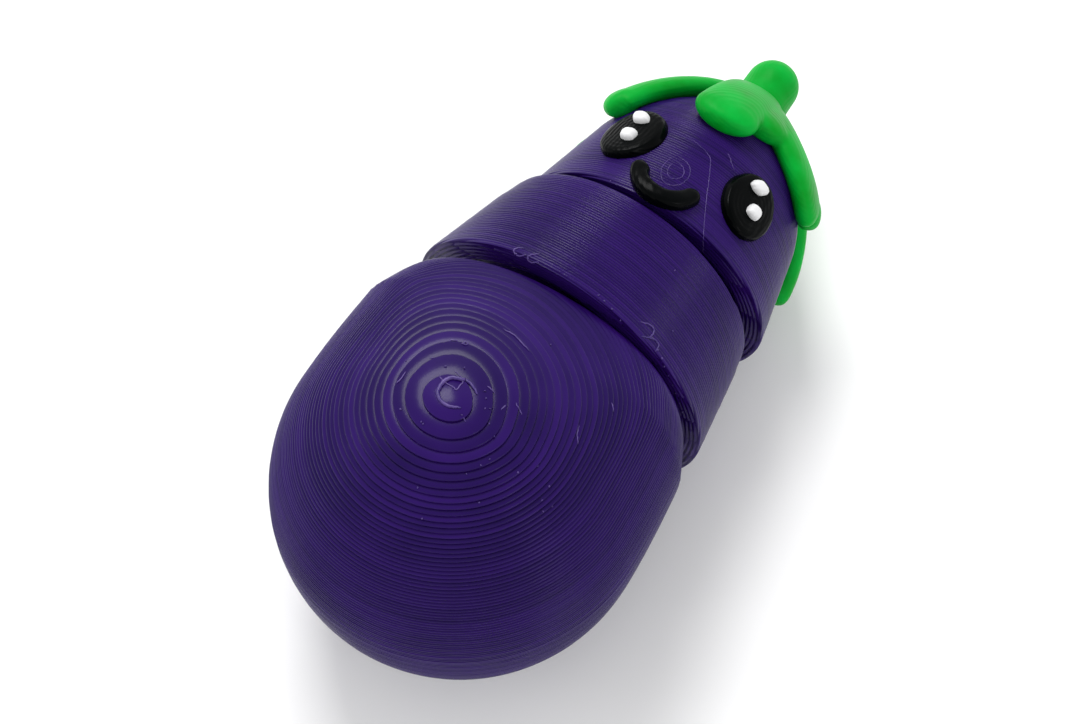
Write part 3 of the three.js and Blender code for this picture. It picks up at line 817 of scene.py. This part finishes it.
# %% The marks' plastic, paler partly as painted highlight
# The marks are raised plastic, paler than the skin. Their pale tone is partly painted highlight: the
# light that glints on thin lines and on the edges of layers.
MARK_AND_SHEEN_TONES = ((46, 24, 100), (84, 62, 130))
mark_and_sheen_plastic, mark_and_sheen_nodes, mark_and_sheen_shader = new_material("pale_marks_and_sheen", 0.38, specular=0.4)
speckle = noise(mark_and_sheen_nodes, object_place(mark_and_sheen_nodes), scale=900.0, detail=2.0)
two_tones(mark_and_sheen_nodes, mark_and_sheen_shader, speckle, MARK_AND_SHEEN_TONES, low=0.35, high=0.65)
print("string material:", mark_and_sheen_plastic.name)

# %% Marks on the purple skin
BULB_BEAD = [[(461.5, 408), (446.5, 406.5), (438.5, 398.5), (437.5, 390), (443.5, 381.5),
              (451.5, 377.5), (460, 379), (467, 381), (473.5, 387), (477.5, 395)]]
BULB_STRINGS = [
    [(439, 375), (442.5, 381), (446.5, 384), (453.5, 387), (456.5, 391), (459, 386.5),
     (464, 381.5), (460, 376), (455, 371)],
    [(487.5, 386), (495, 393.5)], [(501, 410), (506, 405)], [(516, 403), (522, 415)],
    [(463, 417), (466, 422.5)], [(406, 371.5), (401.5, 378.5), (396.5, 383.5)],
    [(448.5, 341.5), (451.5, 340), (457.5, 341)],
    [(461.5, 343.5), (466, 342), (469, 343.5), (466, 345.5), (461.5, 343.5)],
    [(503.5, 329), (516, 336), (523.5, 345), (530, 351.5)], [(579, 425), (577, 434), (578, 444)],
    [(612, 403), (614, 412)], [(434, 357.5), (430, 359)], [(405, 361.5), (407, 360)],
]
BULB_BLOBS = [[spot] for spot in (
    (445, 366), (463.5, 368), (484, 391), (485.5, 398.5), (484.5, 408.5), (489.5, 409),
    (461, 415), (488.5, 423.5), (493.5, 436), (421, 421.5), (422.5, 424), (489, 459), (400, 409),
    (478.5, 502.5), (542.5, 511.5), (551.5, 506.5), (541, 500), (548.5, 486), (421.5, 518.5),
    (517, 472.5), (466, 474), (480, 465), (417, 487.5), (537, 466), (550, 345))]
# The ring's loops are thin raised lines at the lip, and their pale tone is painted highlight where
# glossy layer lines turn round.
RING_STRINGS_AND_SHEEN = [[(524, 248), (516, 248), (513, 252), (518, 256), (526, 255)],
                [(540, 254), (530, 255), (527, 259), (532, 263), (540, 262)],
                [(640, 322), (650, 324), (655, 331), (650, 338), (641, 336)],
                [(646, 337), (655, 339), (659, 346), (655, 352)]]
# The first ten blobs are the row of dots along the rim: small raised zits, whose pale tone is partly
# painted highlight on the edge of each layer.
RING_BLOBS_AND_SHEEN = [[spot] for spot in (
    (657, 350), (661, 358), (664, 366), (668, 375), (672, 384), (675, 393), (679, 402), (682, 411),
    (686, 420), (690, 431), (598, 295), (604, 301), (611, 309), (620, 320), (674, 270), (672, 331))]
HEAD_STRINGS = [
    [(685, 134), (698, 144), (711, 156), (710, 172), (707, 193), (704, 222), (703, 253)],
    [(728, 153), (731, 161), (734, 170)],
    [(676, 155), (689, 163), (691, 175), (682, 185), (668, 186), (660, 178), (662, 165), (672, 157)],
    [(676, 161), (684, 167), (684, 176), (676, 180), (668, 177), (667, 169), (673, 163)]]
HEAD_BLOBS = [[spot] for spot in ((610, 181),)]
# Name, piece, body, lines of spots and radius in millimetres.
marks = [(strings(name, piece, lines, radius), body) for name, piece, body, lines, radius in (
    ("bulb_end_bead", bulb_piece, "bulb_body", BULB_BEAD, 0.17),
    ("bulb_strings", bulb_piece, "bulb_body", BULB_STRINGS, 0.06),
    ("bulb_blobs", bulb_piece, "bulb_body", BULB_BLOBS, 0.1),
    ("ring_strings_and_sheen", ring_piece, "ring_body", RING_STRINGS_AND_SHEEN, 0.075),
    ("ring_blobs_and_sheen", ring_piece, "ring_body", RING_BLOBS_AND_SHEEN, 0.1),
    ("head_strings", head_piece, "head_body", HEAD_STRINGS, 0.035),
    ("head_blobs", head_piece, "head_body", HEAD_BLOBS, 0.09))]
for mark, body in marks:
    print(mark.name, "faces:", len(mark.data.polygons))

# %% [markdown]
# ## Places on the head
# The face and the calyx lie on the curved skin of the head, so they are drawn in measures that
# follow it. For the face that is a flat drawing rolled round the axis and pressed down on the
# skin. For the calyx it is an angle round the axis and a distance from the tip, measured over
# the dome. Both give points raised by any height, so a flat drawing becomes a solid.

# %% Head measures
FACE_TURN = 6.5
REAR_FACE_LEFT_OUT = 0.02
head_line = np.array(head_profile[1:])[::-1]
head_line = head_line[head_line[:, 1] > HEAD_LIP_Y + REAR_FACE_LEFT_OUT]
line_run = run_along(head_line)
line_slope = np.gradient(head_line, line_run, axis=0)
line_slope /= np.linalg.norm(line_slope, axis=1)[:, None]


def head_radius(y):
    """The head's radius at y."""
    return np.interp(y, head_line[::-1, 1], head_line[::-1, 0])


def on_face(turn, x, y, height):
    """A point of a drawing that is rolled turn degrees round the axis, raised by height."""
    radius = head_radius(y) + height
    depth = math.sqrt(max(radius * radius - x * x, 0))
    a = math.radians(turn + FACE_TURN)
    return np.array((x * math.cos(a) + depth * math.sin(a), y,
                     HEAD_AXIS_HEIGHT + depth * math.cos(a) - x * math.sin(a)))


def over_skin(angle, distance, height):
    """A point at an angle round the axis and a distance from the tip, raised by height."""
    foot = [np.interp(distance, line_run, head_line[:, k]) for k in (0, 1)]
    slope = [np.interp(distance, line_run, line_slope[:, k]) for k in (0, 1)]
    radius, a = foot[0] - slope[1] * height, math.radians(angle)
    return np.array((radius * math.sin(a), foot[1] + slope[0] * height,
                     HEAD_AXIS_HEIGHT + radius * math.cos(a)))


print("tip to lip over the skin, mm:", round(float(line_run[-1]), 2))


# %% Swept bars and raised patches
def swept(name, place, half_width, low, high, cap, squareness, end_squareness,
          sides=28, stations=72):
    """A rounded bar along place(t, height), t from 0 to 1. half_width is a function of t."""
    ts = np.linspace(0, 1, stations)
    line = np.array([place(t, 0) for t in ts])
    normal = np.array([place(t, 1) for t in ts]) - line
    run = run_along(line)
    across = np.cross(normal, np.gradient(line, run, axis=0))
    across /= np.linalg.norm(across, axis=1)[:, None]
    middle, half = (low + high) / 2, (high - low) / 2

    def squared(v):
        return math.copysign(abs(v) ** squareness, v)

    points = [tuple(line[0] + normal[0] * middle)]
    for i in range(1, stations - 1):
        inset = min(1.0, min(run[i], run[-1] - run[i]) / cap)
        round_in = math.sqrt(1 - (1 - inset) ** 2)
        for a in np.linspace(0, 2 * math.pi, sides, endpoint=False):
            wide = squared(math.cos(a)) * half_width(ts[i]) * round_in
            tall = middle + half * squared(math.sin(a)) * round_in ** end_squareness
            points.append(tuple(line[i] + across[i] * wide + normal[i] * tall))
    points.append(tuple(line[-1] + normal[-1] * middle))
    return closed_rings(name, points, stations - 2, sides)


PATCH_FOOT = 0.98


def patch(name, turn, outline, top, low, rings, sides):
    """A raised patch. outline(a) gives (x, y) round the edge and top(share) the height."""
    edge = np.array([outline(a) for a in np.linspace(0, 2 * math.pi, sides, endpoint=False)])
    middle = edge.mean(0)
    shares = np.sin(np.linspace(0, math.pi / 2, rings + 1))[1:]
    points = [tuple(on_face(turn, *middle, top(0.0)))]
    for share, height in [*((share, top(share)) for share in shares), (PATCH_FOOT, low)]:
        points += [tuple(on_face(turn, *at, height)) for at in middle + (edge - middle) * share]
    points.append(tuple(on_face(turn, *middle, low)))
    return closed_rings(name, points, rings + 1, sides)


# %% [markdown]
# ## Black, white and green plastic
# The face and the calyx are the same kind of plastic in other colours. The green one lets a
# little light through. All of them have a soft gloss, faint layer lines and small smears,
# which come from the roughness and a shallow bump.

# %% Other plastics
SMEAR_GLOSSIER, SMEAR_DULLER = 0.07, 0.09


def smeared_plastic(name, tones, roughness, pitch, line_strength, shine):
    """Plastic of one colour that drifts between two tones, with faint layer lines."""
    material, tree, shader = new_material(name, roughness, specular=shine)
    place = object_place(tree)
    cloudy = noise(tree, place, scale=210.0, detail=5.0)
    two_tones(tree, shader, cloudy, tones, low=0.3, high=0.72)
    rough = add_node(tree, "ShaderNodeMapRange", {
        "Value": cloudy, "From Min": 0.3, "From Max": 0.7,
        "To Min": roughness - SMEAR_GLOSSIER, "To Max": roughness + SMEAR_DULLER})
    turns = maths(tree, "MULTIPLY", layer_count(tree, place, FACE_UP, pitch), 2 * math.pi)
    height = maths(tree, "MULTIPLY_ADD", maths(tree, "SINE", turns), line_strength,
                   noise(tree, place, scale=1900.0, detail=3.0))
    surface(tree, shader, rough, height, strength=0.25)
    return material, shader


FACE_UP = placed("head_body").to_3x3() @ Vector((0.35, 0.2, 1.0))
# Name, tones, roughness, pitch and strength of the layer lines, and shine.
(black_plastic, _), (white_plastic, _), (green_plastic, green_shader) = (
    smeared_plastic(*given) for given in (
        ("black_plastic", ((1, 2, 2), (5, 7, 8)), 0.24, 0.3, 0.7, 0.04),
        ("white_plastic", ((206, 206, 208), (226, 226, 227)), 0.45, 0.3, 0.3, 0.3),
        ("green_plastic", ((0, 134, 26), (0, 170, 60)), 0.42, 0.32, 0.5, 0.07)))
for socket, value in (("Subsurface Weight", 0.12), ("Subsurface Radius", (0.2, 1.0, 0.3)),
                      ("Subsurface Scale", 0.8 * MM)):
    green_shader.inputs[socket].default_value = value
print("plastics:", black_plastic.name, white_plastic.name, green_plastic.name)

# %% [markdown]
# ## The face
# Each eye is a low black button with a rounded rim and rings left by the nozzle. Two white
# drops sit on it, a larger one above. The smile is a fat bead bent into an arc.

# %% Edges of the face pieces
SUNK = -0.35
# The size, the number of waves round the edge, and the phase of each wave.
RAGGED_WAVES = ((1.0, 3, 1.0), (0.7, 7, 2.1), (0.5, 13, 3.7))


def ragged(a, seed, amount):
    """A small unevenness round an edge, at the angle a."""
    return 1 + amount * sum(size * math.sin(count * a + phase * seed)
                            for size, count, phase in RAGGED_WAVES)


def edge_round(share, corner, power):
    """The height of a rounded edge, from 1 in the middle to 0 at share 1."""
    return (1 - share ** corner) ** power if share < 1 else 0.0


print("face pieces reach into the head by, mm:", -SUNK)

# %% Eyes
EYE_SPREAD, EYE_Y, EYE_SKEW = 31.5, 34.45, -0.12
EYE_HALF_WIDTH, EYE_HALF_LENGTH, EYE_HEIGHT, EYE_RAGGED = 2.85, 3.4, 0.95, 0.006
EYE_ROUNDING = {"corner": 14, "power": 0.4}
EYE_DISH, EYE_DISH_POWER, EYE_RING_HEIGHT = 0.06, 6, 0.008


def eye(name, side, seed):
    def outline(a):
        grow = ragged(a, seed, EYE_RAGGED)
        return (EYE_HALF_WIDTH * grow * math.cos(a),
                EYE_Y + side * EYE_SKEW + EYE_HALF_LENGTH * grow * math.sin(a))

    def top(share):
        rim = edge_round(share, **EYE_ROUNDING)
        dish = 1 - EYE_DISH * (1 - share ** EYE_DISH_POWER)
        rings = EYE_RING_HEIGHT * math.sin(2 * math.pi * share * EYE_HALF_WIDTH / LINE_WIDTH)
        return SUNK + (EYE_HEIGHT - SUNK) * rim * dish + rings * rim

    thing = patch(name, side * EYE_SPREAD, outline, top, SUNK - 0.1, rings=44, sides=112)
    thing.data.materials.append(black_plastic)
    return thing


left_eye = eye("printed_left_eye", side=-1, seed=0.4)
right_eye = eye("printed_right_eye", side=1, seed=2.9)
print("eye faces:", len(left_eye.data.polygons), len(right_eye.data.polygons))

# %% Glints
GLINT_HEIGHT, GLINT_EDGE, GLINT_FOOT = 1.6, 0.9, 0.85
GLINT_SQUARENESS, GLINT_RAGGED = 1.6, 0.02
GLINT_ROUNDING = {"corner": 3.2, "power": 0.5}
UPPER_GLINT = {"x": -0.2, "y": 1.85, "shift": (-0.15, 0.1), "half": (1.0, 0.74), "turn": 20}
LOWER_GLINT = {"x": 0.35, "y": -0.65, "shift": (-0.05, 0.1), "half": (0.84, 0.78), "turn": 40}


def glint(name, side, given, seed):
    x = given["x"] + side * given["shift"][0]
    y = EYE_Y + side * EYE_SKEW + given["y"] + side * given["shift"][1]
    turn = math.radians(given["turn"] * side)

    def outline(a):
        power = GLINT_SQUARENESS
        corner = 1 / (abs(math.cos(a)) ** power + abs(math.sin(a)) ** power) ** (1 / power)
        grow = corner * ragged(a, seed, GLINT_RAGGED)
        u, v = given["half"][0] * grow * math.cos(a), given["half"][1] * grow * math.sin(a)
        return (x + u * math.cos(turn) - v * math.sin(turn),
                y + u * math.sin(turn) + v * math.cos(turn))

    def top(share):
        return GLINT_EDGE + (GLINT_HEIGHT - GLINT_EDGE) * edge_round(share, **GLINT_ROUNDING)

    thing = patch(name, side * EYE_SPREAD, outline, top, GLINT_FOOT, rings=20, sides=64)
    thing.data.materials.append(white_plastic)
    return thing


glints = {(word, where): glint(f"printed_{word}_{where}_glint", side, given, seed)
          for word, side in (("left", -1), ("right", 1))
          for where, given, seed in (("upper", UPPER_GLINT, 1.1 + side),
                                     ("lower", LOWER_GLINT, 4.2 + side))}
print("glints:", len(glints))

# %% Smile
SMILE_Y, SMILE_TURN, SMILE_RADIUS, SMILE_FLATNESS = 31.4, -3.5, 2.7, 0.98
SMILE_HALF_WIDTH, SMILE_HEIGHT, SMILE_CAP = 0.85, 1.2, 0.75
SMILE_UNEVEN, SMILE_WAVES = 0.03, 19


def smile():
    def place(t, height):
        a = math.pi * (1 + t)
        return on_face(SMILE_TURN, SMILE_RADIUS * math.cos(a),
                       SMILE_Y + SMILE_RADIUS * SMILE_FLATNESS * math.sin(a), height)

    def half_width(t):
        return SMILE_HALF_WIDTH * (1 + SMILE_UNEVEN * math.sin(SMILE_WAVES * t))

    thing = swept("printed_smile", place, half_width, SUNK, SMILE_HEIGHT, SMILE_CAP,
                  squareness=0.72, end_squareness=0.3, sides=36, stations=110)
    thing.data.materials.append(black_plastic)
    return thing


smile_piece = smile()
print("smile faces:", len(smile_piece.data.polygons))

# %% [markdown]
# ## The calyx
# A thick stem stands on a round hub. Six fat arms and a broad front lobe run down from it
# over the dome. A skirt fills the corner between the lobe and the right arm, and the two
# upper arms end in a small foot that turns aside. Each one is a swept bar that follows its
# own curve over the skin. Joined as they are they would meet in hard creases. A voxel remesh
# melts them into one closed skin, and a few smoothing passes round the joints off, as the
# real piece is modelled.

# %% Calyx arms, hub and stem
CALYX_VOXEL, CALYX_SMOOTHING = 0.142, 10
ARM_LOW = -0.25
HUB_RADIUS, HUB_SINK, HUB_HALF_HEIGHT = 4.6, 0.4, 2.6
STEM_RADIUS, STEM_ROUND_Y = 2.6, 52.6
STEM_SIDE = [(0, 46.5), (3.3, 46.5), (2.83, 49.5), (2.62, 51.2)]
# Start, bend and end of each arm as (angle, distance), its half width, how far it flares
# towards the end, its end rounding, and how far it stands off the head.
CALYX_ARMS = {
    "lobe": ((7, 0.5), (5, 7), (5, 14.6), 2.8, 0.2, 2.2, 2.45),
    "skirt": ((22, 0.5), (22, 6), (23, 11.5), 2.8, 0.2, 2.0, 2.1),
    "right": ((20, 2.5), (46, 11), (80, 12.7), 2.2, 0.6, 0.8, 2.1),
    "right_foot": ((74, 11.6), (80, 12.7), (88, 13.0), 1.8, 0.0, 1.4, 2.2),
    "right_low": ((95, 0.5), (117, 9), (121, 18.4), 1.4, 0.1, 1.3, 2.1),
    "under_right": ((150, 0.5), (151, 8), (152, 13.5), 1.6, 0.4, 1.5, 2.1),
    "under_left": ((205, 0.5), (205, 7), (206, 12.5), 1.6, 0.4, 1.5, 2.1),
    "left_low": ((258, 0.5), (258, 8), (257, 17.5), 1.6, 0.4, 1.5, 2.1),
    "left": ((322, 0.5), (312, 9.0), (307, 15.4), 1.8, 0.4, 0.7, 2.0),
    "left_foot": ((304, 13.8), (309, 14.8), (317, 15.2), 1.8, 0.0, 0.9, 2.1),
}


def calyx_arm(name, start, bend, end, half_width, flare, cap, high):
    def place(t, height):
        at = [(1 - t) ** 2 * a + 2 * t * (1 - t) * b + t * t * c
              for a, b, c in zip(start, bend, end)]
        return over_skin(*at, height)

    return swept(name, place, lambda t: half_width * (1 + flare * t ** 3), ARM_LOW, high,
                 cap, squareness=0.9, end_squareness=0.6)


def calyx_parts():
    """The arms, the hub and the stem, as separate solids that overlap."""
    hub = [(HUB_RADIUS * math.cos(a), HEAD_TIP_Y - HUB_SINK + HUB_HALF_HEIGHT * math.sin(a))
           for a in np.linspace(-math.pi / 2, math.pi / 2, 25)]
    stem_round = [(STEM_RADIUS * math.cos(a), STEM_ROUND_Y + STEM_RADIUS * math.sin(a))
                  for a in np.linspace(0, math.pi / 2, 14)]
    return [*(calyx_arm(name, *given) for name, given in CALYX_ARMS.items()),
            lathe("hub", hub, head_height, sides=48),
            lathe("stem", [*STEM_SIDE, *stem_round], head_height, sides=48)]


def melted(parts, name):
    """Joins solids that overlap, and melts them into one smooth skin."""
    bpy.ops.object.select_all(action="DESELECT")
    for part in parts:
        part.select_set(True)
    bpy.context.view_layer.objects.active = parts[0]
    bpy.ops.object.join()
    whole = bpy.context.view_layer.objects.active
    melt = whole.modifiers.new("melt", "REMESH")
    melt.mode = "VOXEL"
    melt.voxel_size = CALYX_VOXEL * MM
    soften = whole.modifiers.new("soften", "SMOOTH")
    soften.factor = 0.5
    soften.iterations = CALYX_SMOOTHING
    data = evaluated_mesh(whole, name)
    bpy.data.objects.remove(whole)
    return linked(name, data)


calyx_piece = melted(calyx_parts(), "printed_calyx")
one_material(calyx_piece.data, green_plastic)
print("calyx faces:", len(calyx_piece.data.polygons))

# %% [markdown]
# ## Putting the pieces in place
# The face and the calyx move from the straight head to where the head lies. Every printed
# piece then rides on its body, and the solid part it stands for is hidden.
# Strings and blobs ride along but stand for nothing. Faces are shaded smooth, but edges
# sharper than the plastic's roundings stay crisp.

# %% Riding and replacing
SHARP = math.radians(62)
for part in (left_eye, right_eye, smile_piece, calyx_piece, *glints.values()):
    part.data.transform(placed("head_body"))
STANDS_FOR = [
    (bulb_piece, "bulb_body", "bulb", "purple_plastic"),
    (ring_piece, "ring_body", "middle_ring", "purple_plastic"),
    (head_piece, "head_body", "head", "purple_plastic"),
    (calyx_piece, "head_body", "calyx", "green_plastic"),
    (smile_piece, "head_body", "smile", "black_plastic"),
    (left_eye, "head_body", "left_eye", "black_plastic"),
    (right_eye, "head_body", "right_eye", "black_plastic"),
] + [(piece, "head_body", f"{word}_eye_{where}_glint", "white_plastic")
     for (word, where), piece in glints.items()]
for piece, body, node, slot in STANDS_FOR:
    piece.data.shade_smooth()
    piece.data.set_sharp_from_angle(angle=SHARP)
    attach(piece, body)
    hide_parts(node)
for mark, body in marks:
    mark.data.shade_smooth()
    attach(mark, body)
print("pieces in place:", len(STANDS_FOR) + len(marks))

# %% [markdown]
# ## Floor and light
# The toy lies on white paper. A large window stands behind it on the left, so its shadow falls
# softly to the right. Two weaker lights fill in from the right and from the front left, and
# the sky is dimmer straight overhead.

# %% Floor and sky
FLOOR_HALF, FLOOR_BRIGHT = 3.0, 0.96
SKY_LOW, SKY_HIGH, SKY_BRIGHT, SKY_DIM = 0.55, 0.95, 0.95, 0.6

floor_data = bpy.data.meshes.new("floor")
floor_data.from_pydata([(x * FLOOR_HALF, y * FLOOR_HALF, 0)
                        for x, y in ((-1, -1), (1, -1), (1, 1), (-1, 1))], [], [(0, 1, 2, 3)])
floor = linked("floor", floor_data)
floor_material, _, floor_shader = new_material("white_paper", 0.9, specular=0.1)
floor_shader.inputs["Base Color"].default_value = (*[FLOOR_BRIGHT] * 3, 1)
floor_data.materials.append(floor_material)

world = bpy.data.worlds.new("studio")
world.use_nodes = True
sky = world.node_tree
sky_way = add_node(sky, "ShaderNodeSeparateXYZ", {
    0: sky.nodes.new("ShaderNodeTexCoord").outputs["Generated"]}).outputs["Z"]
sky_light = add_node(sky, "ShaderNodeMapRange", {
    "Value": sky_way, "From Min": SKY_LOW, "From Max": SKY_HIGH, "To Min": SKY_BRIGHT,
    "To Max": SKY_DIM}, interpolation_type="SMOOTHSTEP")
sky.links.new(sky_light.outputs[0], sky.nodes["Background"].inputs["Strength"])
sky.nodes["Background"].inputs["Color"].default_value = (1.0, 1.0, 1.0, 1)
bpy.context.scene.world = world
print("sky overhead, as a share of the sky all round:", round(SKY_DIM / SKY_BRIGHT, 2))

# %% Lights
LIGHT_AIM = Vector((0, 0.015, 0.01))
# Name, place and size in metres, and watts.
LIGHTS = [("window", (-0.25, 0.28, 0.5), 0.26, 2.5), ("fill", (0.42, -0.1, 0.34), 0.16, 0.35),
          ("side", (-0.42, -0.22, 0.16), 0.2, 0.3)]
for name, place, size, power in LIGHTS:
    data = bpy.data.lights.new(name, "AREA")
    data.size = size
    data.energy = power
    facing = (LIGHT_AIM - Vector(place)).to_track_quat("-Z", "Y").to_matrix().to_4x4()
    linked(name, data).matrix_world = Matrix.Translation(place) @ facing
    print("light:", name, power, "W")
bpy.context.scene.view_settings.view_transform = "Standard"
